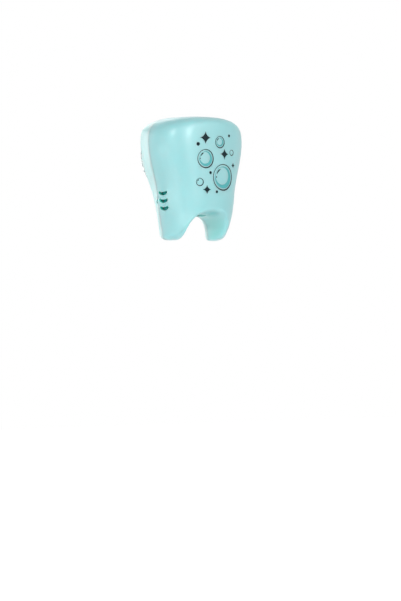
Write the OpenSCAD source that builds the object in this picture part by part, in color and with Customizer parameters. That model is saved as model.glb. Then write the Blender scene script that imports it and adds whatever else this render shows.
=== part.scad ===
// Wall-held toothbrush cover in the shape of a molar: a front shell that
// swings up on a hinge pin in the crown, a shallow back shell, and a clear
// suction cup that is snapped through the back.
// The wall is the plane y = 0, the cover's front looks along -Y, and the
// origin is the middle of the suction cup on the wall.

/* [Tooth outline] */
// Height of the cover from root tips to crown
cover_h = 61.6; // [58:0.2:68]
// Greatest width, across the crown
crown_w = 53.6; // [50:0.2:58]
// Height of the widest place above the root tips
crown_at = 49; // [47:0.5:51]
// Width at the waist above the roots
waist_w = 42.4; // [40:0.2:46]
// Height of the waist above the root tips
waist_at = 22; // [20:0.5:25]
// Width across both roots where their tips begin to round
foot_w = 36.4; // [35:0.2:38]
// Height of the rounding on the outer side of a root tip
tip_round = 4; // [3.5:0.1:4.5]
// Distance from the middle to a root's lowest point
tip_at = 13.5; // [13:0.1:14]
// Width of the arch between the roots
arch_w = 20.6; // [19.4:0.2:22]
// Height of the arch above the root tips
arch_h = 12.5; // [11:0.5:14]
// Height of the rounding on the inner side of a root tip
arch_foot = 2.2; // [1.8:0.1:2.6]

/* [Shells] */
// Depth of the front shell before the parting plane
front_depth = 19; // [17:0.5:22]
// Depth of the back shell behind the parting plane
back_depth = 11.8; // [11:0.2:13]
// Depth of the back shell at the roots
root_depth = 4.4; // [4.2:0.1:5.4]
// Wall thickness of both shells
wall = 1.6; // [1.4:0.1:1.8]
// Reach of the front's rounding down from the crown
crown_reach = 9.5; // [8.5:0.5:12]
// Reach of the front's taper up from the root tips
root_reach = 24; // [21:0.5:27]
// Height above the root tips where the back reaches its full depth
back_full_at = 37; // [35:0.5:40]
// Reach of the front's rounding round the arch
arch_edge = 3.4; // [2.6:0.1:4]
// Reach of the back's rounding down from the crown
back_reach = 7; // [6:0.5:9]
// Radius of the back's edge round the arch and root tips
back_edge = 4; // [3.5:0.1:5]

/* [Openings] */
// Width of the neck notch in the crest of the arch
neck_w = 9; // [8:0.2:11]
// Depth of the neck notch in the front shell
neck_front = 9; // [7.5:0.2:11]
// Depth of the neck notch in the back shell
neck_back = 1.6; // [1:0.1:2.2]
// Number of vent slots in each side
vents = 3; // [1:1:4]
// Length of a vent slot along the side
vent_len = 4.6; // [3.5:0.1:5.4]
// Height of a vent slot at its middle
vent_h = 1.7; // [1.2:0.1:1.9]
// Spacing of the vent slots
vent_pitch = 3.75; // [3.5:0.05:4]
// Height of the lowest vent above the root tips
vent_at = 15.5; // [15.3:0.1:16.5]
// Distance of the vents' middle from the parting plane
vent_in = 4.1; // [3.6:0.1:6]
// Radius of the vents' curve
vent_curve = 3.4; // [3:0.1:5]
// Rise of the middle of a vent's upper curve, which makes that edge flatter
vent_flat = 2.5; // [1.5:0.1:3.5]

/* [Hinge] */
// Radius of the hinge knuckles
knuckle_r = 2; // [1.8:0.1:2.2]
// Length of the row of knuckles
hinge_len = 24; // [20:0.5:26]
// Radius of the hinge pin
pin_r = 0.8; // [0.7:0.05:0.9]
// Radial clearance of the pin in the front's knuckles
pin_play = 0.06; // [0.03:0.01:0.09]
// Gap between knuckles, end to end
knuckle_gap = 0.3; // [0.2:0.05:0.5]
// Drop of the knuckles below the top of the crown
hinge_drop = 0.5; // [0.4:0.05:0.8]

/* [Locating lip and catch] */
// Reach of the lip into the front shell
lip_reach = 1.2; // [0.8:0.1:1.4]
// Thickness of the lip
lip_t = 1; // [0.8:0.1:1.2]
// Clearance between the lip and the front shell's wall
lip_gap = 0.3; // [0.25:0.05:0.4]
// Height of the catch and its thumb notch above the root tips
catch_at = 19.3; // [18:0.1:21]
// Radius of the thumb notch in the back shell's edge
thumb_r = 1.2; // [1:0.1:1.5]
// Height of the lip's lower end above the root tips
lip_from = 15; // [13:0.5:17]
// Height of the lip's upper end above the root tips
lip_to = 46; // [42:0.5:48]

/* [Suction cup] */
// Radius of the cup on the wall
cup_r = 18; // [16:0.5:20]
// Height of the pressed cup between the wall and its seat
cup_h = 6; // [5.6:0.1:7]
// Height of the cup's axis above the root tips
cup_at = 43; // [41:0.5:44]
// Radius of the cup's neck
neck_r = 2.5; // [2.2:0.1:3]
// Radial clearance of the neck in the back shell
neck_play = 0.06; // [0.03:0.01:0.09]
// Radius of the knob that holds the cup in the shell
knob_r = 4; // [3.6:0.1:4.6]
// Height of the knob
knob_h = 2.6; // [2.2:0.1:3]
// Gap between the cup and each side of its seat
seat_gap = 0.12; // [0.08:0.02:0.2]
// Radius of the cup's hub, where it meets its seat
hub_r = 5.4; // [5:0.1:6]
// Thickness of the cup's lip
cup_lip = 0.7; // [0.5:0.1:1]
// Hollow under the middle of the pressed cup
cup_hollow = 0.9; // [0.6:0.1:1.2]
// Thickness of the seat in the back shell
seat_t = 3.6; // [3.2:0.1:4.4]
// Rise of the seat from the back's surface
seat_rise = 0.4; // [0.3:0.1:0.8]

/* [Hidden] */
$fn = 64;

crown_n = 2.95;  // squareness of the crown's outline
arch_n = 2.6;  // squareness of the arch
tip_n = 3;  // squareness of the root tips
front_n = 2.4;  // squareness of the front shell across its width
back_n = 4.5;  // squareness of the back shell across its width
brow_n = 5;  // squareness of the front's rounding at the crown
slope_n = 1.3;  // squareness of the back's slope down from the crown
root_n = 3;  // squareness of the front's taper to the root tips
edge_n = 2.2;  // squareness of the edges round the arch
waist_lean = 0.09;  // slope of the side at the waist
foot_lean = 0.2;  // slope of the side above the root tips
crown_steps = 14;
side_steps = 12;
root_steps = 10;
tip_steps = 6;
outer_rings = 14;
inner_rings = 8;

top_steps = crown_steps + side_steps;
leg_steps = root_steps + tip_steps;
half_steps = top_steps + 2 * leg_steps;

ridge_top = cover_h - crown_reach + 0.5;
fork_at = waist_at - 1;
leg_x = (arch_w / 2 + foot_w / 2) / 2;
leg_at = tip_round + 0.2;

swing_gap = 0.3;  // clearance of the front shell round the knuckles
hinge_y = knuckle_r + swing_gap;
hinge_z = cover_h - hinge_drop - knuckle_r;
knuckle_count = 5;
knuckle_len = hinge_len / knuckle_count;
knuckle_w = knuckle_len - knuckle_gap;
pin_len = hinge_len - 2 * knuckle_gap;
pin_chamfer = 0.2;
bead_play = 0.1;  // clearance left between the catch bead and the front's wall
bead_len = 5;
seat_r = hub_r + 0.6;
neck_len = seat_t + 2 * seat_gap;
parting_y = -(cup_h + seat_gap + seat_rise + back_depth);
through = 1;  // how far a cut runs past what it cuts

aqua = [0.62, 0.86, 0.87];
pale_aqua = [0.80, 0.92, 0.91];
clear = [0.88, 0.92, 0.93, 0.6];
steel = [0.72, 0.73, 0.75];

// Part of a rounded corner: 0 at its edge (t = 0) to 1 past its reach
function bulge(t, n) = pow(1 - pow(1 - min(max(t, 0), 1), n), 1 / n);

function mix(a, b, t) = a + (b - a) * t;

// Smooth curve between two values with a slope at each end
function ease(a, b, slope_a, slope_b, len, t) =
    a * (2 * t * t * t - 3 * t * t + 1) + slope_a * len * (t * t * t - 2 * t * t + t)
    + b * (3 * t * t - 2 * t * t * t) + slope_b * len * (t * t * t - t * t);

// Half the outline's width at height h, drawn in by an inset
function half_w(h, inset) =
    h > crown_at ?
        (crown_w / 2 - inset) * bulge(1 - (h - crown_at) / (cover_h - crown_at - inset), crown_n)
    : h > waist_at ?
        ease(waist_w / 2, crown_w / 2, waist_lean, 0, crown_at - waist_at,
             (h - waist_at) / (crown_at - waist_at)) - inset
    : h > tip_round ?
        ease(foot_w / 2, waist_w / 2, foot_lean, waist_lean, waist_at - tip_round,
             (h - tip_round) / (waist_at - tip_round)) - inset
    : tip_at + (foot_w / 2 - tip_at - inset)
        * bulge((h - inset) / (tip_round - inset), tip_n);

function corner(angle, reach_x, reach_h, n) =
    [reach_x * pow(cos(angle), 2 / n), reach_h * pow(sin(angle), 2 / n)];

// Right half of the outline, from the top of the crown down to the arch's crest
function crown_arc(inset) = [for (i = [0:crown_steps])
    [0, crown_at] + corner(90 - 90 * i / crown_steps, crown_w / 2 - inset,
                           cover_h - crown_at - inset, crown_n)];
function side_curve(inset) = [for (i = [1:side_steps])
    let (h = mix(crown_at, waist_at, i / side_steps)) [half_w(h, inset), h]];
function root_side(inset) = [for (i = [1:root_steps])
    let (h = mix(waist_at, tip_round, i / root_steps)) [half_w(h, inset), h]];
function outer_tip(inset) = [for (i = [1:tip_steps])
    let (c = corner(90 * i / tip_steps, foot_w / 2 - tip_at - inset, tip_round - inset, tip_n))
    [tip_at + c[0], tip_round - c[1]]];
function inner_tip(inset) = [for (i = [1:tip_steps])
    let (c = corner(90 - 90 * i / tip_steps, tip_at - arch_w / 2 - inset, arch_foot - inset, tip_n))
    [tip_at - c[0], arch_foot - c[1]]];
function arch_arc(inset) = [for (i = [1:root_steps])
    [0, arch_foot] + corner(90 * i / root_steps, arch_w / 2 + inset,
                            arch_h + inset - arch_foot, arch_n)];
function half_outline(inset) = concat(crown_arc(inset), side_curve(inset), root_side(inset),
                                      outer_tip(inset), inner_tip(inset), arch_arc(inset));

function mirrored(points) = [for (i = [len(points) - 2:-1:1]) [-points[i][0], points[i][1]]];
function outline(inset) = let (half = half_outline(inset)) concat(half, mirrored(half));

// Ridge line that the rings of a shell close on: down the middle, then along each root
function middle_ridge() = [for (i = [0:top_steps]) [0, mix(ridge_top, fork_at, i / top_steps)]];
function leg_ridge(side) = [for (i = [1:leg_steps])
    let (t = i / leg_steps, bend = [0.8 * leg_x, mix(leg_at, fork_at, 0.6)],
         p = 2 * t * (1 - t) * bend + [t * t * leg_x, (1 - t) * (1 - t) * fork_at + t * t * leg_at])
    [side * p[0], p[1]]];
function ridge() = concat(middle_ridge(), leg_ridge(1), leg_ridge(-1));

// Which ridge point the outline's point i runs to
function ridge_index(i) =
    let (left = i > half_steps,
         k = left ? 2 * half_steps - i : i,
         leg_end = top_steps + leg_steps,
         s = k > leg_end ? 2 * leg_end - k : k)
    left && s > top_steps ? s + leg_steps : s;

// Distance from the arch, measured from the middle of its foot
function arch_distance(x, h, inset) =
    let (rise = max(h - arch_foot, 0),
         reach_x = arch_w / 2 + inset,
         reach_h = arch_h + inset - arch_foot,
         rho = pow(pow(abs(x) / reach_x, arch_n) + pow(rise / reach_h, arch_n), 1 / arch_n))
    rho <= 1 ? 0 : norm([x, rise]) * (1 - 1 / rho);

function across(x, h, inset, n) = bulge(1 - abs(x) / max(half_w(h, inset), 0.01), n);

// Depth of the front shell's surface at a place of the outline
function front_at(x, h, inset) = (front_depth - inset)
    * bulge((cover_h - inset - h) / (crown_reach - inset), brow_n)
    * bulge((h - inset) / (root_reach - inset), root_n)
    * across(x, h, inset, front_n)
    * bulge(arch_distance(x, h, inset) / (arch_edge - inset / 2), edge_n);

// Depth of the back shell's surface, shallow at the roots and deep behind the crown
function back_span(h) = let (t = min(max((h - arch_h) / (back_full_at - arch_h), 0), 1))
    mix(root_depth, back_depth, t * t * (3 - 2 * t));
function back_at(x, h, inset) = (back_span(h) - inset)
    * bulge((cover_h - inset - h) / (back_reach - inset), slope_n)
    * bulge((h - inset) / (back_edge - inset), edge_n)
    * across(x, h, inset, back_n)
    * bulge(arch_distance(x, h, inset) / (back_edge - inset), edge_n);

// Skin of one shell as rings that run from the parting plane in to the ridge
function depth_at(facing, x, h, inset) =
    facing < 0 ? -front_at(x, h, inset) : back_at(x, h, inset);
function ring(facing, edge, inset, t) = [for (i = [0:len(edge) - 1])
    let (p = mix(edge[i], ridge()[ridge_index(i)], t))
    [p[0], t == 0 ? 0 : depth_at(facing, p[0], p[1], inset), p[1]]];
function skin_points(facing, inset, rings) =
    let (edge = outline(inset))
    concat([for (k = [0:rings - 1], p = ring(facing, edge, inset,
                                             1 - pow(cos(90 * k / rings), 2 / front_n))) p],
           [for (p = ridge()) [p[0], depth_at(facing, p[0], p[1], inset), p[1]]]);
function skin_faces(flip, first, rings) =
    let (n = 2 * half_steps)
    [for (k = [0:rings - 1], i = [0:n - 1])
        let (a = first + k * n + i,
             b = first + k * n + (i + 1) % n,
             last = k == rings - 1,
             c = last ? first + rings * n + ridge_index((i + 1) % n) : b + n,
             d = last ? first + rings * n + ridge_index(i) : a + n)
        for (f = i < half_steps ? [[a, b, d], [b, c, d]] : [[a, b, c], [a, c, d]])
            flip ? [f[2], f[1], f[0]] : f];

module shell(facing) {
    outside = skin_points(facing, 0, outer_rings);
    inside = skin_points(facing, wall, inner_rings);
    n = 2 * half_steps;
    count = len(outside);
    front = facing < 0;
    rim = [for (i = [0:n - 1])
        let (j = (i + 1) % n)
        for (f = [[j, i, count + i], [j, count + i, count + j]]) front ? f : [f[2], f[1], f[0]]];
    polyhedron(points = concat(outside, inside),
               faces = concat(skin_faces(!front, 0, outer_rings),
                              skin_faces(front, count, inner_rings), rim));
}

// Moves a shape drawn round the parting plane, root tips at zero, to its place
module place() translate([0, parting_y, -cup_at]) children();

module along_x(r, len) rotate([0, 90, 0]) cylinder(r = r, h = len, center = true);

// Extrudes a front view of a shape from depth y0 back to y1
module from_front(y0, y1) translate([0, y1, 0]) rotate([90, 0, 0]) linear_extrude(y1 - y0) children();

// Extrudes a side view, drawn as [y, z], over a width along X
module from_side(width) rotate([90, 0, 90]) linear_extrude(width, center = true) children();

module at_hinge() translate([0, hinge_y, hinge_z]) children();
module at_knuckles(list) for (k = list)
    translate([(k - (knuckle_count - 1) / 2) * knuckle_len, 0, 0]) at_hinge() children();
front_knuckles = [1, 3];
back_knuckles = [0, 2, 4];

// A bowl-shaped slot: its lower edge sags more than its upper edge, and its ends are round
module vent_profile() {
    low_r = vent_curve + vent_h / 2;
    high_r = vent_curve - vent_h / 2 + vent_flat;
    half_angle = vent_len / vent_curve / 2 * 180 / PI;
    end = [sin(half_angle), -cos(half_angle)];
    // how far along the line to the slot's end the upper edge lies
    inner = vent_flat * end[1] + sqrt(pow(high_r, 2) - pow(vent_flat * end[0], 2));
    reach = 3 * (vent_curve + vent_h);
    difference() {
        circle(r = low_r);
        translate([0, vent_flat]) circle(r = high_r);
        polygon([[0, 0], reach * end, [reach, reach], [-reach, reach], reach * [-end[0], end[1]]]);
    }
    for (side = [-1, 1])
        translate((low_r + inner) / 2 * [side * end[0], end[1]]) circle(d = low_r - inner);
}

// The vents run straight through both sides
module vent_cuts() for (k = [0:vents - 1])
    translate([0, -vent_in, vent_at + k * vent_pitch + vent_curve])
        from_side(crown_w + 2 * through) vent_profile();

// The neck notch through the crest of the arch, partly in each shell
module neck_slot() translate([0, 0, arch_h - 2 * wall]) linear_extrude(5 * wall) {
    translate([0, neck_w / 2 - neck_front]) circle(d = neck_w);
    translate([-neck_w / 2, neck_w / 2 - neck_front]) square([neck_w, neck_front - neck_w / 2 + neck_back]);
}

// Arm and barrel of one front knuckle, and its clearance in the back shell
module front_knuckle() {
    along_x(knuckle_r, knuckle_w);
    root = -hinge_y - wall;
    from_side(knuckle_w)
        polygon([[0, knuckle_r], [root, knuckle_r], [root, knuckle_r - wall],
                 [-hinge_y, -knuckle_r / 2], -knuckle_r * [sin(30), cos(30)], [0, -knuckle_r]]);
}
module knuckle_slot() {
    width = knuckle_len + knuckle_gap;
    translate([-width / 2, -hinge_y - through, -knuckle_r - swing_gap])
        cube([width, hinge_y + through + knuckle_r + swing_gap, 2 * knuckle_r + 3 * wall]);
}

// Rounds the back's top edge about the hinge line, so that the front shell can swing over it
module edge_relief() {
    width = 2 * half_w(hinge_z, 0) + 2 * through;
    difference() {
        translate([-width / 2, -hinge_y - through, 0])
            cube([width, hinge_y + through, knuckle_r + wall + 2 * through]);
        along_x(knuckle_r, width + 2 * through);
    }
}

// Strip that follows both sides between two insets of the outline
module side_strips(inset_a, inset_b, y0, y1) {
    steps = 12;
    heights = [for (i = [0:steps]) mix(lip_from, lip_to, i / steps)];
    for (side = [-1, 1])
        from_front(y0, y1)
            polygon(concat([for (h = heights) [side * half_w(h, inset_a), h]],
                           [for (i = [steps:-1:0]) [side * half_w(heights[i], inset_b), heights[i]]]));
}

// Lip that steps in from the back's wall and reaches into the front shell
module locating_lip() {
    outer = wall + lip_gap;
    inner = outer + lip_t;
    side_strips(outer, inner, -lip_reach, wall);
    side_strips(wall / 2, inner, wall / 2, wall * 1.5);
    // the catch: a low bead that ramps up along the lip and down again
    low = catch_at - bead_len / 2;
    high = catch_at + bead_len / 2;
    for (side = [-1, 1])
        from_front(-0.8 * lip_reach, -0.3 * lip_reach)
            polygon([for (p = [[outer + 0.2, low - 1], [outer, low - 1], [wall + bead_play, low],
                               [wall + bead_play, high], [outer, high + 1], [outer + 0.2, high + 1]])
                     [side * half_w(p[1], p[0]), p[1]]]);
}

module cup_seat() translate([0, back_depth + seat_rise, cup_at])
    rotate([90, 0, 0]) cylinder(r = seat_r, h = seat_t);

module cup_hole() translate([0, back_depth + seat_rise + through, cup_at])
    rotate([90, 0, 0]) cylinder(r = neck_r + neck_play, h = seat_t + 2 * through);

module thumb_notches() for (side = [-1, 1])
    translate([side * half_w(catch_at, 0), 0, catch_at])
        along_x(thumb_r, 2 * (wall + lip_gap / 2));

// The hole in one shoulder that the pin is driven in through
module pin_entry() translate([hinge_len / 2, hinge_y, hinge_z])
    rotate([0, 90, 0]) cylinder(r = pin_r + swing_gap / 2, h = crown_w / 2);

module front_shell() color(aqua) place() difference() {
    union() {
        shell(-1);
        at_knuckles(front_knuckles) front_knuckle();
    }
    vent_cuts();
    neck_slot();
    at_hinge() along_x(pin_r + pin_play, hinge_len);
}

module back_shell() color(pale_aqua) place() difference() {
    union() {
        difference() {
            shell(1);
            at_hinge() edge_relief();
            at_knuckles(front_knuckles) knuckle_slot();
        }
        at_knuckles(back_knuckles) along_x(knuckle_r, knuckle_w);
        locating_lip();
        cup_seat();
    }
    neck_slot();
    thumb_notches();
    cup_hole();
    pin_entry();
    at_hinge() along_x(pin_r, hinge_len);
}

module hinge_pin() color(steel) place() at_hinge() {
    along_x(pin_r, pin_len - 2 * pin_chamfer);
    for (side = [0, 1])
        rotate([0, 90 + 180 * side, 0]) translate([0, 0, pin_len / 2 - pin_chamfer])
            cylinder(r1 = pin_r, r2 = pin_r - pin_chamfer, h = pin_chamfer);
}

// Half profile of the cup: from the wall over the bell to its hub, neck and knob
function cup_bell() = let (steps = 10) [for (i = [0:steps])
    let (s = i / steps) [mix(cup_r, hub_r, s), mix(cup_lip, cup_h - cup_lip, pow(s, 1.7))]];
function cup_knob() = let (steps = 6, base = cup_h + neck_len) [for (i = [0:steps])
    let (a = 80 * i / steps) [knob_r * cos(a), base + knob_h * (0.25 + 0.75 * sin(a) / sin(80))]];

module suction_cup() color(clear) rotate([90, 0, 0]) rotate_extrude()
    polygon(concat([[0, cup_hollow], [0.35 * cup_r, 0.75 * cup_hollow], [0.7 * cup_r, 0], [cup_r, 0]],
                   cup_bell(),
                   [[hub_r, cup_h], [neck_r, cup_h], [neck_r, cup_h + neck_len],
                    [knob_r, cup_h + neck_len]],
                   cup_knob(),
                   [[0, cup_h + neck_len + knob_h]]));

front_shell();
back_shell();
hinge_pin();
suction_cup();
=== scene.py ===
import math

import bmesh
import bpy
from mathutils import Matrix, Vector
from mathutils.bvhtree import BVHTree


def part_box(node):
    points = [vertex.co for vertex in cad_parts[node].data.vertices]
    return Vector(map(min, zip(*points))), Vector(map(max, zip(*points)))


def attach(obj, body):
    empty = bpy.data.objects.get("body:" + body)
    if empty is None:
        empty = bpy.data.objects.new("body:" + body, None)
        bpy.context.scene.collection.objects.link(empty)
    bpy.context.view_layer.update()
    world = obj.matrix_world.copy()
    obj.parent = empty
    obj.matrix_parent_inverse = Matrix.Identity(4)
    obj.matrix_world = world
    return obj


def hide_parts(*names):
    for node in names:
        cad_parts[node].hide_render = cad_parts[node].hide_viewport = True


# Looks of a tooth-shaped toothbrush cover: moulded aqua shells, a clear suction
# cup, a steel hinge pin and a print of bubbles and sparkles on the front.

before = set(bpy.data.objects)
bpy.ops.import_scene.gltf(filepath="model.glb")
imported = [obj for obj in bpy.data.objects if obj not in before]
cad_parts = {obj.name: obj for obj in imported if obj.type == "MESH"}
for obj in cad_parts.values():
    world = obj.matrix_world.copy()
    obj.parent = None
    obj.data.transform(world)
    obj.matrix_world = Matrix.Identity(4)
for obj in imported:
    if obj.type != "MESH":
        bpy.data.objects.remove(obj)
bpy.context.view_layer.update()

mm = 0.001
white = (1, 1, 1, 1)
samePoint = 0.002 * mm  # points of a mesh nearer than this are one
turnedCrease = 40  # degrees at which an edge of a turned or printed piece stays sharp


# Helpers


def hexColour(code):  # "#RRGGBB" as the linear colour that renders like it
    parts = [int(code[i:i + 2], 16) / 255 for i in (1, 3, 5)]
    return tuple(c / 12.92 if c <= 0.04045 else ((c + 0.055) / 1.055) ** 2.4 for c in parts) + (1,)


class Wire:  # a shader socket that can be used in sums
    def __init__(self, tree, socket=None):
        self.tree = tree
        self.socket = socket

    def node(self, kind, settings=None, inputs=None, output=0):
        made = self.tree.nodes.new(kind)
        for name, value in (settings or {}).items():
            setattr(made, name, value)
        for name, value in (inputs or {}).items():
            if isinstance(value, Wire):
                self.tree.links.new(value.socket, made.inputs[name])
            else:
                made.inputs[name].default_value = value
        return Wire(self.tree, made.outputs[output] if made.outputs else None)

    def maths(self, operation, first, second):
        return self.node("ShaderNodeMath", {"operation": operation}, {0: first, 1: second})

    def __add__(self, other):
        return self.maths("ADD", self, other)

    def __sub__(self, other):
        return self.maths("SUBTRACT", self, other)

    def __rsub__(self, other):
        return self.maths("SUBTRACT", other, self)

    def __mul__(self, other):
        return self.maths("MULTIPLY", self, other)

    __radd__ = __add__
    __rmul__ = __mul__

    def limited(self):
        return self.node("ShaderNodeClamp", None, {"Value": self})


def newMaterial(name):
    material = bpy.data.materials.new(name)
    material.use_nodes = True
    material.node_tree.nodes.clear()
    return material, Wire(material.node_tree)


def place(wire):
    return wire.node("ShaderNodeTexCoord", output=3)  # Object coordinates, in metres


def noise(wire, coords, size, detail, rough=0.5):
    return wire.node("ShaderNodeTexNoise", None,
                     {"Vector": coords, "Scale": 1 / size, "Detail": detail, "Roughness": rough})


def blendColours(wire, amount, colourA, colourB):
    settings = {"data_type": "RGBA", "blend_type": "MIX"}
    return wire.node("ShaderNodeMix", settings, {0: amount, 6: colourA, 7: colourB}, output=2)


def output(wire, shader):
    wire.node("ShaderNodeOutputMaterial", None, {"Surface": shader})


def link(piece):
    bpy.context.scene.collection.objects.link(piece)
    return piece


def meshPiece(name, bm, material, body):
    mesh = bpy.data.meshes.new(name)
    for face in bm.faces:
        face.smooth = True
    bm.to_mesh(mesh)
    bm.free()
    mesh.materials.append(material)
    piece = link(bpy.data.objects.new(name, mesh))
    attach(piece, body)
    return piece


def creaseEdges(bm, degrees):
    for edge in bm.edges:
        edge.smooth = edge.calc_face_angle(0) < math.radians(degrees)


def lathe(bm, outline, axis, centre, steps):
    # turns an outline, given as (distance along the axis, radius), into a closed form
    side = Vector((0, 0, 1))
    line = [bm.verts.new(centre + axis * along + side * radius) for along, radius in outline]
    edges = [bm.edges.new(pair) for pair in zip(line, line[1:])]
    bmesh.ops.spin(bm, geom=line + edges, cent=centre, axis=axis,
                   angle=math.tau, steps=steps, use_merge=True)
    bmesh.ops.remove_doubles(bm, verts=bm.verts, dist=samePoint)
    bmesh.ops.recalc_face_normals(bm, faces=bm.faces)


# Camera: level, well below the cover, from the front left

view = {
    "azimuth": -38.0,  # degrees, from the front towards the left
    "distance": 1500 * mm,
    "frameHeight": 300.5 * mm,  # what the 601 rows of the photograph cover at the seam
    "belowRoots": 29.85 * mm,  # from the root tips down to the middle row
    "rightOfMiddle": 4.65 * mm,  # from the middle of the seam to the middle column
    "seamY": -18.32 * mm,
    "rootTipsZ": -43 * mm,
    "sensor": 36,  # its width in millimetres
    "clip": (50 * mm, 20000 * mm),  # the nearest and farthest that it sees
}


def addCamera():
    angle = math.radians(view["azimuth"])
    ahead = Vector((-math.sin(angle), math.cos(angle), 0))
    right = Vector((math.cos(angle), math.sin(angle), 0))
    aim = Vector((0, view["seamY"], view["rootTipsZ"] - view["belowRoots"]))
    aim += right * view["rightOfMiddle"]
    data = bpy.data.cameras.new("camera")
    data.sensor_width = view["sensor"]
    data.lens = view["sensor"] * view["distance"] / view["frameHeight"]
    data.clip_start, data.clip_end = view["clip"]
    camera = link(bpy.data.objects.new("camera", data))
    camera.location = aim - ahead * view["distance"]
    camera.rotation_mode = "QUATERNION"
    camera.rotation_quaternion = ahead.to_track_quat("-Z", "Y")
    bpy.context.scene.camera = camera
    bpy.context.scene.view_settings.view_transform = "Standard"


addCamera()
print("camera placed")


# Finishes

shellLook = {
    "cloudSize": 30 * mm,  # slow drift of the resin's colour
    "cloudStart": 0.25,  # noise value at which the deeper colour sets in
    "cloudGain": 1.2,
    "grainSize": 0.35 * mm,  # fine texture of the mould
    "grainDepth": 0.010 * mm,
    "grainStrength": 0.6,
    "handlingSize": 16 * mm,  # patches rubbed smoother by handling
    "handlingRange": 0.06,  # how much the roughness changes between them
    "paintedShadeReach": 30 * mm,  # painted shade: hollows narrower than this are painted a deeper, darker teal
    "paintedShadeGain": 1.8,  # how fast the painted shade comes in as the ambient occlusion closes
    "paintedShadeStart": 0.08,  # occlusion that still gets no painted shade
    "edgeRadius": 0.25 * mm,  # how far the moulded edges are rounded
    "gloss": 0.85,
    "glow": 0.85,  # share of light that passes into the plastic
    "glowColour": (0.55, 1.0, 0.97),  # how far red, green and blue spread in it
    "glowDepth": 4 * mm,
    "crease": 34,  # degrees at which an edge of the mesh stays sharp
    "sliver": 0.001 * mm,  # faces narrower than this are closed up
}

# colour, deeper colour of the clouds, painted shade colour in hollows, roughness
shellResins = {
    "aquaPlastic": ("#9CD5D8", "#90CED2", "#50CEBE", 0.31),
    "palePlastic": ("#BEE8E7", "#B3E1E1", "#8FDDD6", 0.32),
}


def shellPlastic(name):
    colour, deepColour, paintedShadeColour, roughness = shellResins[name]
    material, wire = newMaterial(name)
    coords = place(wire)
    cloud = noise(wire, coords, shellLook["cloudSize"], detail=1.0)
    handling = noise(wire, coords, shellLook["handlingSize"], detail=0.0)
    grain = noise(wire, coords, shellLook["grainSize"], detail=1.0)
    # painted shade: ambient occlusion paints hollows, recesses and the vents a deeper, darker teal
    openness = wire.node("ShaderNodeAmbientOcclusion", {"samples": 12, "only_local": True},
                         {"Distance": shellLook["paintedShadeReach"]}, output=1)
    hollow = ((1 - openness) * shellLook["paintedShadeGain"] - shellLook["paintedShadeStart"]).limited()
    cloudy = (cloud - shellLook["cloudStart"]) * shellLook["cloudGain"]
    surface = blendColours(wire, cloudy, hexColour(colour), hexColour(deepColour))
    colourWithPaintedShade = blendColours(wire, hollow, surface, hexColour(paintedShadeColour))
    rounded = wire.node("ShaderNodeBevel", {"samples": 6}, {"Radius": shellLook["edgeRadius"]})
    bumped = wire.node("ShaderNodeBump", None, {
        "Height": grain,
        "Distance": shellLook["grainDepth"],
        "Strength": shellLook["grainStrength"],
        "Normal": rounded,
    })
    output(wire, wire.node("ShaderNodeBsdfPrincipled", {"subsurface_method": "RANDOM_WALK"}, {
        "Base Color": colourWithPaintedShade,
        "Roughness": (handling - 0.5) * shellLook["handlingRange"] + roughness,
        "IOR": 1.5,
        "Specular IOR Level": shellLook["gloss"],
        "Subsurface Weight": shellLook["glow"],
        "Subsurface Radius": shellLook["glowColour"],
        "Subsurface Scale": shellLook["glowDepth"],
        "Normal": bumped,
    }))
    return material


vinylLook = {
    "colour": "#F4FAFA",
    "smearSize": 6 * mm,  # smears left by fingers
    "roughness": (0.04, 0.08),  # at its smoothest, and what the smears add
    "ior": 1.48,
    "clearness": 0.92,
}


def clearVinyl():
    material, wire = newMaterial("clearVinyl")
    coords = place(wire)
    smear = noise(wire, coords, vinylLook["smearSize"], detail=3.0)
    smooth, added = vinylLook["roughness"]
    output(wire, wire.node("ShaderNodeBsdfPrincipled", None, {
        "Base Color": hexColour(vinylLook["colour"]),
        "Roughness": smear * added + smooth,
        "IOR": vinylLook["ior"],
        "Transmission Weight": vinylLook["clearness"],
    }))
    return material


steelLook = {
    "colour": "#C9CACC",
    "lineSize": 0.06 * mm,  # width of the lines left by drawing the wire
    "lineStretch": (0.04, 1, 1),
    "lineDepth": 0.003 * mm,
    "lineStrength": 0.5,
    "roughness": (0.2, 0.15),  # at its smoothest, and what the lines add
}


def pinSteel():
    material, wire = newMaterial("pinSteel")
    coords = place(wire)
    drawn = wire.node("ShaderNodeMapping", None, {"Vector": coords, "Scale": steelLook["lineStretch"]})
    lines = noise(wire, drawn, steelLook["lineSize"], detail=2.0)
    bumped = wire.node("ShaderNodeBump", None, {
        "Height": lines,
        "Distance": steelLook["lineDepth"],
        "Strength": steelLook["lineStrength"],
    })
    smooth, added = steelLook["roughness"]
    output(wire, wire.node("ShaderNodeBsdfPrincipled", None, {
        "Base Color": hexColour(steelLook["colour"]),
        "Metallic": 1.0,
        "Roughness": lines * added + smooth,
        "Normal": bumped,
    }))
    return material


inkLook = {
    "darkInk": ("#021D22", "#143F45"),  # colour, and colour where it is worn
    "tealInk": ("#56AFB3", "#73C1C4"),
    "patchSize": 0.5 * mm,
    "wearStart": 0.56,  # noise value at which the wear sets in
    "wearGain": 3,
    "roughness": (0.45, 0.2),  # at its smoothest, and what the patches add
    "ior": 1.3,
}


def printInk(name):
    colour, wornColour = inkLook[name]
    material, wire = newMaterial(name)
    coords = place(wire)
    patchy = noise(wire, coords, inkLook["patchSize"], detail=3.0, rough=0.65)
    worn = ((patchy - inkLook["wearStart"]) * inkLook["wearGain"]).limited()
    smooth, added = inkLook["roughness"]
    output(wire, wire.node("ShaderNodeBsdfPrincipled", None, {
        "Base Color": blendColours(wire, worn, hexColour(colour), hexColour(wornColour)),
        "Roughness": patchy * added + smooth,
        "IOR": inkLook["ior"],
    }))
    return material


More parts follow.
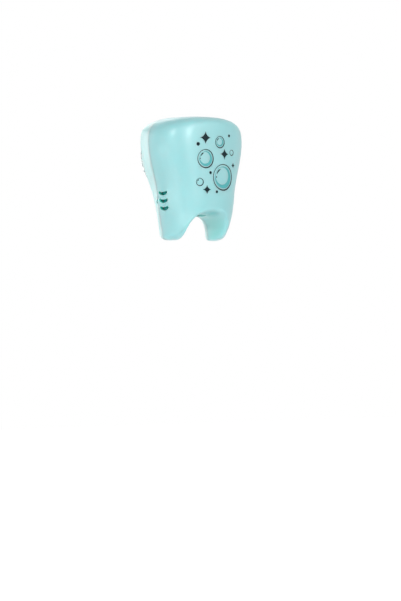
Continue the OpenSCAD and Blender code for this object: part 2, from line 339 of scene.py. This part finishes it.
aquaPlastic = shellPlastic("aquaPlastic")
palePlastic = shellPlastic("palePlastic")
vinyl = clearVinyl()
steel = pinSteel()
darkInk = printInk("darkInk")
tealInk = printInk("tealInk")
print("finishes made")


# Shells: merged copies of the frame's own nodes, shaded smooth between their creases


def dressedShell(node, body, material, name):
    bm = bmesh.new()
    bm.from_mesh(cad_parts[node].data)
    bmesh.ops.remove_doubles(bm, verts=bm.verts, dist=samePoint)
    bmesh.ops.dissolve_degenerate(bm, edges=bm.edges, dist=shellLook["sliver"])
    creaseEdges(bm, shellLook["crease"])
    piece = meshPiece(name, bm, material, body)
    weighted = piece.modifiers.new("weighted", "WEIGHTED_NORMAL")
    weighted.mode = "FACE_AREA_WITH_ANGLE"
    weighted.keep_sharp = True
    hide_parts(node)
    return piece


frontShell = dressedShell("front_shell", "front", aquaPlastic, "frontShell")
backShell = dressedShell("back_shell", "back", palePlastic, "backShell")
print("shells dressed")


# Suction cup and pin, turned on the lathe

cup = {
    "radius": 18 * mm,
    "lip": 0.7 * mm,  # thickness at the rim
    "shoulder": 6 * mm,  # from the wall to the top of the bell
    "bellEnd": 0.5 * mm,  # the bell meets the hub this far below the shoulder
    "bellCurve": 1.7,  # 1 is a straight cone
    "hubRadius": 5.4 * mm,
    "hubRound": 0.4 * mm,
    "neckRadius": 2.5 * mm,
    "neckLength": 3.84 * mm,
    "neckFlare": (0.1 * mm, 0.3 * mm),  # along the neck and out, where it leaves the hub
    "neckCorner": (0.02 * mm, 0.2 * mm),  # and where it meets the knob
    "knobRadius": 4 * mm,
    "knobHeight": 2.6 * mm,
    "knobRound": 0.3 * mm,
    "knobSide": 0.6 * mm,  # the knob's dome starts this far from its base
    "hollow": 0.9 * mm,  # depth of the hollow against the wall
    "hollowWidth": 0.7,  # its share of the radius
    "hollowCurve": 1.6,
    "steps": 96,
}

pin = {
    "endRound": 0.3 * mm,
    "steps": 40,
}


def arcPoints(centre, radii, start, end, count):  # (along, radius) points of an arc
    turn = [math.radians(start + (end - start) * i / count) for i in range(count + 1)]
    return [(centre[0] + radii[0] * math.sin(a), centre[1] + radii[1] * math.cos(a)) for a in turn]


def roundEdge(along, radius, size, start, end, count):  # an arc of one radius, size
    return arcPoints((along, radius), (size, size), start, end, count)


def hollowPoints(count=12):
    points = []
    for i in range(count + 1):
        depth = math.cos(math.radians(90 * i / count)) ** cup["hollowCurve"]
        points.append((cup["hollow"] * depth, cup["hollowWidth"] * cup["radius"] * i / count))
    return points


def bellPoints(count=24):
    radius, lip, hub = cup["radius"], cup["lip"], cup["hubRadius"]
    rise = cup["shoulder"] - cup["bellEnd"] - lip
    points = []
    for i in range(1, count + 1):
        s = i / count
        out = radius + (hub - radius) * s - lip / 2 * (1 - s)
        points.append((lip + rise * s ** cup["bellCurve"], out))
    return points


def cupOutline():
    halfLip = cup["lip"] / 2
    shoulder = cup["shoulder"]
    hub, hubRound = cup["hubRadius"], cup["hubRound"]
    neck, knob, knobRound = cup["neckRadius"], cup["knobRadius"], cup["knobRound"]
    knobBase = shoulder + cup["neckLength"]
    flareAlong, flareOut = cup["neckFlare"]
    cornerAlong, cornerOut = cup["neckCorner"]
    domeStart = knobBase + cup["knobSide"]
    domeHeight = cup["knobHeight"] - cup["knobSide"]
    edge = roundEdge(halfLip, cup["radius"] - halfLip, halfLip, -90, 90, 8)
    hubEdge = roundEdge(shoulder - hubRound, hub - hubRound, hubRound, 0, 90, 5)
    neckFoot = [(shoulder, neck + flareOut), (shoulder + flareAlong, neck)]
    neckTop = [(knobBase - cornerAlong, neck), (knobBase, neck + cornerOut)]
    knobFoot = roundEdge(knobBase + knobRound, knob - knobRound, knobRound, -90, 0, 4)
    dome = arcPoints((domeStart, 0), (domeHeight, knob), 0, 90, 12)
    return hollowPoints() + edge + bellPoints() + hubEdge + neckFoot + neckTop + knobFoot + dome


def suctionCup():
    bm = bmesh.new()
    lathe(bm, cupOutline(), Vector((0, -1, 0)), Vector((0, 0, 0)), cup["steps"])
    creaseEdges(bm, turnedCrease)
    piece = meshPiece("suctionCup", bm, vinyl, "cup")
    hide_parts("suction_cup")


def hingePin():
    low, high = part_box("hinge_pin")
    middle = (low + high) / 2
    radius = (high.z - low.z) / 2
    half = (high.x - low.x) / 2
    endRound = pin["endRound"]
    leftEnd = roundEdge(-half + endRound, radius - endRound, endRound, -90, 0, 5)
    rightEnd = roundEdge(half - endRound, radius - endRound, endRound, 0, 90, 5)
    bm = bmesh.new()
    outline = [(-half, 0)] + leftEnd + rightEnd + [(half, 0)]
    lathe(bm, outline, Vector((1, 0, 0)), middle, pin["steps"])
    creaseEdges(bm, turnedCrease)
    piece = meshPiece("hingePin", bm, steel, "back")
    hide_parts("hinge_pin")


suctionCup()
hingePin()
print("cup and pin turned")


# Print on the front: bubbles rising past sparkles

# Places are (right of the middle, above the root tips) on the front, then the size, all in mm.
printLook = {
    "film": 0.05 * mm,  # thickness of the ink
    "proud": 0.03 * mm,  # how far it stands off the plastic
    "bubbles": [
        ((5.6, 31.2), 6.6),
        ((-5.4, 40.2), 4.7),
        ((3.4, 48.6), 3.0),
        ((-8.6, 28.6), 2.0),
        ((11.6, 43.6), 1.5),
    ],
    "dots": [((-2.6, 33.4), 0.75), ((-9.8, 47.4), 0.9), ((9.6, 52.0), 0.7), ((1.4, 24.0), 0.7)],
    "sparkles": [((6.4, 42.8), 2.7), ((-4.6, 25.0), 2.3), ((-5.6, 50.6), 3.1), ((13.0, 37.4), 1.4)],
}

bubbleLook = {
    "line": 0.62,  # width of the outline of the largest bubble, in mm
    "largest": 6.6,
    "lineShares": (0.55, 0.45),  # of that width, what every line has, and what grows with the bubble
    "swell": (0.8, 0.22),  # the outline's mean width, and the shift of its hole, in lines
    "glintFrom": 1.8,  # radius from which a bubble has its two glints
    "glintAt": 0.68,  # share of the radius at which they lie
    "longGlint": (1.1, 112, 160, 16),  # width in lines, the angles between which it runs, and steps
    "shortGlint": (0.9, 172, 184, 6),
    "fillFrom": 2.5,  # radius from which a bubble has a teal band inside
    "fillGap": 1.9,  # how far in from the bubble's edge it starts, in lines
    "fillBand": (0.8, 0.13),  # its hole's radius and shift, as shares of its own radius
}

sparklePull = 3  # how far a sparkle's sides are drawn in; 1 leaves them round


def stamp(drawing, shape, middle):  # adds a shape, drawn in mm round zero, to the drawing
    bmesh.ops.translate(shape, verts=shape.verts, vec=(middle[0], middle[1], 0))
    bmesh.ops.scale(shape, verts=shape.verts, vec=(mm, mm, mm))
    spare = bpy.data.meshes.new("spare")
    shape.to_mesh(spare)
    shape.free()
    drawing.from_mesh(spare)
    bpy.data.meshes.remove(spare)


def ring(radius, inner, shift, steps=72):
    # a band between two circles; the inner one is shifted so that the line swells to one side
    shape = bmesh.new()
    bmesh.ops.create_circle(shape, segments=steps, radius=radius)
    hole = bmesh.ops.create_circle(shape, segments=steps, radius=inner)["verts"]
    bmesh.ops.translate(shape, verts=hole, vec=(shift[0], shift[1], 0))
    across = bmesh.ops.bridge_loops(shape, edges=shape.edges[:])["edges"]
    bmesh.ops.subdivide_edges(shape, edges=across, cuts=3)
    return shape


def arcStroke(radius, width, start, end, steps):
    # a tapering stroke along an arc: a thin bar that is bent round
    blunt = 0.15  # share of the width left at its ends
    shape = bmesh.new()
    bmesh.ops.create_grid(shape, x_segments=steps, y_segments=2, size=0.5)
    for vert in shape.verts:
        along = vert.co.x + 0.5
        angle = math.radians(start + (end - start) * along)
        reach = radius + vert.co.y * width * (blunt + (1 - blunt) * math.sin(math.pi * along))
        vert.co = Vector((reach * math.cos(angle), reach * math.sin(angle), 0))
    return shape


def filledShape(size, pull, steps=64):
    # a disc whose rim is drawn in between four points; pull 1 leaves it round
    shape = bmesh.new()
    bmesh.ops.create_circle(shape, segments=steps, radius=1, cap_ends=True)
    centre = bmesh.ops.poke(shape, faces=shape.faces[:])["verts"][0]
    bmesh.ops.subdivide_edges(shape, edges=list(centre.link_edges), cuts=4)
    for vert in shape.verts:
        angle = math.atan2(vert.co.y, vert.co.x)
        c, s = abs(math.cos(angle)), abs(math.sin(angle))
        drawnIn = (c ** (2 / pull) + s ** (2 / pull)) ** (-pull / 2)
        vert.co *= drawnIn * size
    return shape


def layOnFront(bm):
    # stands the flat drawing up before the front shell and presses it onto the surface
    shell = bmesh.new()
    shell.from_mesh(frontShell.data)
    surface = BVHTree.FromBMesh(shell)
    shell.free()
    wellBefore = -100 * mm
    for vert in bm.verts:
        start = Vector((vert.co.x, wellBefore, vert.co.y + view["rootTipsZ"]))
        spot, normal, _, _ = surface.ray_cast(start, Vector((0, 1, 0)))
        vert.co = spot + normal * printLook["proud"]
    bm.normal_update()
    for face in bm.faces:
        if face.normal.y > 0:
            face.normal_flip()
    bmesh.ops.solidify(bm, geom=bm.faces[:], thickness=printLook["film"] + printLook["proud"])
    bmesh.ops.recalc_face_normals(bm, faces=bm.faces)


def printPiece(name, bm, material):
    layOnFront(bm)
    creaseEdges(bm, turnedCrease)
    piece = meshPiece(name, bm, material, "front")


def drawBubble(lines, fills, middle, radius):
    always, grows = bubbleLook["lineShares"]
    width = bubbleLook["line"] * (always + grows * radius / bubbleLook["largest"])
    thin, shift = bubbleLook["swell"]
    stamp(lines, ring(radius, radius - width * thin, (-width * shift, width * shift)), middle)
    if radius > bubbleLook["glintFrom"]:
        for share, start, end, steps in (bubbleLook["longGlint"], bubbleLook["shortGlint"]):
            glint = arcStroke(radius * bubbleLook["glintAt"], width * share, start, end, steps)
            stamp(lines, glint, middle)
    if radius > bubbleLook["fillFrom"]:
        outer = radius - width * bubbleLook["fillGap"]
        hole, shift = bubbleLook["fillBand"]
        stamp(fills, ring(outer, outer * hole, (-outer * shift, outer * shift)), middle)


def bubblePrint():
    lines = bmesh.new()
    fills = bmesh.new()
    for middle, radius in printLook["bubbles"]:
        drawBubble(lines, fills, middle, radius)
    for middle, size in printLook["dots"]:
        stamp(lines, filledShape(size, 1), middle)
    for middle, size in printLook["sparkles"]:
        stamp(lines, filledShape(size, sparklePull), middle)
    printPiece("printLines", lines, darkInk)
    printPiece("printFills", fills, tealInk)


bubblePrint()
print("print laid on the front")


# Stage: a pale floor, a white surround and soft lamps

stage = {
    "floorZ": -240 * mm,
    "floorSize": 4000 * mm,
    "floorColour": (0.86, 0.86, 0.86, 1),
    "floorLift": 0.68,  # what the floor gives to the eye alone, so that it meets the surround
    "surround": 0.42,  # strength of the white surround on the object
}

# degrees from the front to the right, degrees up, metres away, width and height, watts
lamps = {
    "keyLamp": (8, 24, 1.2, (1.3, 0.8), 3.6),
    "sideStrip": (-50, 18, 1.0, (0.07, 0.3), 1.8),
    "frontStrip": (-4, 13, 1.0, (0.07, 0.3), 1.4),
    "leftFill": (-150, 0, 1.1, (0.5, 0.8), 3),
    "lowFill": (-86, -9, 1.1, (0.9, 0.2), 1.6),
    "underFill": (-40, -34, 0.36, (0.4, 0.12), 0.3),
    "backFill": (165, 25, 1.2, (0.8, 0.8), 3),
}


def seenDirectly(wire):  # 1 for the camera, and for what it sees in gloss or through clear vinyl
    camera = wire.node("ShaderNodeLightPath", output=0)
    glossy = wire.node("ShaderNodeLightPath", output=3)
    through = wire.node("ShaderNodeLightPath", output=6)
    return (camera + glossy + through).limited()


def whiteSurround():
    world = bpy.data.worlds.new("surround")
    bpy.context.scene.world = world
    world.use_nodes = True
    world.node_tree.nodes.clear()
    wire = Wire(world.node_tree)
    strength = seenDirectly(wire) * (1 - stage["surround"]) + stage["surround"]
    shader = wire.node("ShaderNodeBackground", None, {"Color": white, "Strength": strength})
    wire.node("ShaderNodeOutputWorld", None, {"Surface": shader})


def paleFloor():
    bm = bmesh.new()
    bmesh.ops.create_grid(bm, x_segments=1, y_segments=1, size=stage["floorSize"] / 2)
    bmesh.ops.translate(bm, verts=bm.verts, vec=(0, 0, stage["floorZ"]))
    material, wire = newMaterial("paleFloor")
    lifted = seenDirectly(wire) * stage["floorLift"]
    matt = wire.node("ShaderNodeBsdfDiffuse", None, {"Color": stage["floorColour"]})
    lift = wire.node("ShaderNodeEmission", None, {"Color": white, "Strength": lifted})
    output(wire, wire.node("ShaderNodeAddShader", None, {0: matt, 1: lift}))
    mesh = bpy.data.meshes.new("floor")
    bm.to_mesh(mesh)
    bm.free()
    mesh.materials.append(material)
    link(bpy.data.objects.new("floor", mesh))


def softbox(name, azimuth, elevation, distance, size, watts):
    data = bpy.data.lights.new(name, "AREA")
    data.shape = "RECTANGLE"
    data.size, data.size_y = size
    data.energy = watts
    lamp = link(bpy.data.objects.new(name, data))
    a, e = math.radians(azimuth), math.radians(elevation)
    away = Vector((math.sin(a) * math.cos(e), -math.cos(a) * math.cos(e), math.sin(e)))
    lamp.location = Vector((0, view["seamY"], 0)) + away * distance
    lamp.rotation_mode = "QUATERNION"
    lamp.rotation_quaternion = (-away).to_track_quat("-Z", "Y")


whiteSurround()
paleFloor()
for lampName, setting in lamps.items():
    softbox(lampName, *setting)
print("stage set")
